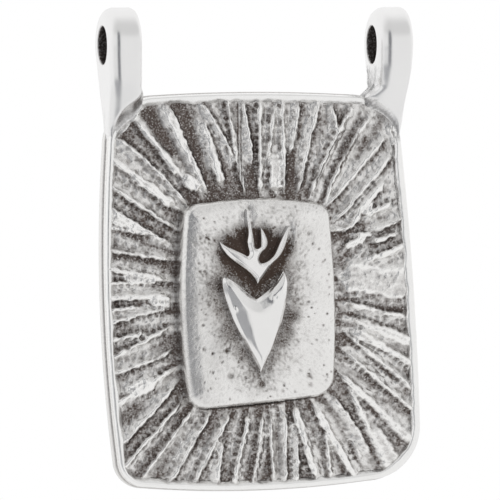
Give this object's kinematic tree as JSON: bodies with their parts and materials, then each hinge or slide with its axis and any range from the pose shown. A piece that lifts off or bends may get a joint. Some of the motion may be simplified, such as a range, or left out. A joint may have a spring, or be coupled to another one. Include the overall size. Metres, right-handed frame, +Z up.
{
  "type": "rectangle pendant",
  "caption": "Rounded rectangle silver pendant with a rayed field, a raised tablet bearing a flaming heart, and bored bails at the top corners for a cord.",
  "frame": {"origin": "midway between the two bails, on the shared axis of their bores", "axes": "+Z up the pendant as it hangs, +X along the bores to the viewer's right, +Y out of the back, so the front faces -Y"},
  "size_m": [0.0217, 0.0055, 0.032],
  "materials": {
    "polished_silver": "polished silver with fine wear",
    "satin_silver": "satin silver, pitted, with grey patina in its hollows",
    "oxidised_silver": "blackened silver with rubbed bright crests"
  },
  "bodies": {
    "root": {"back_plate": "satin_silver", "ray_frame": "oxidised_silver", "border_wire": "polished_silver", "tablet": "satin_silver", "heart": "polished_silver", "flame": "polished_silver", "left_bail": "polished_silver", "right_bail": "polished_silver"}
  },
  "joints": []
}
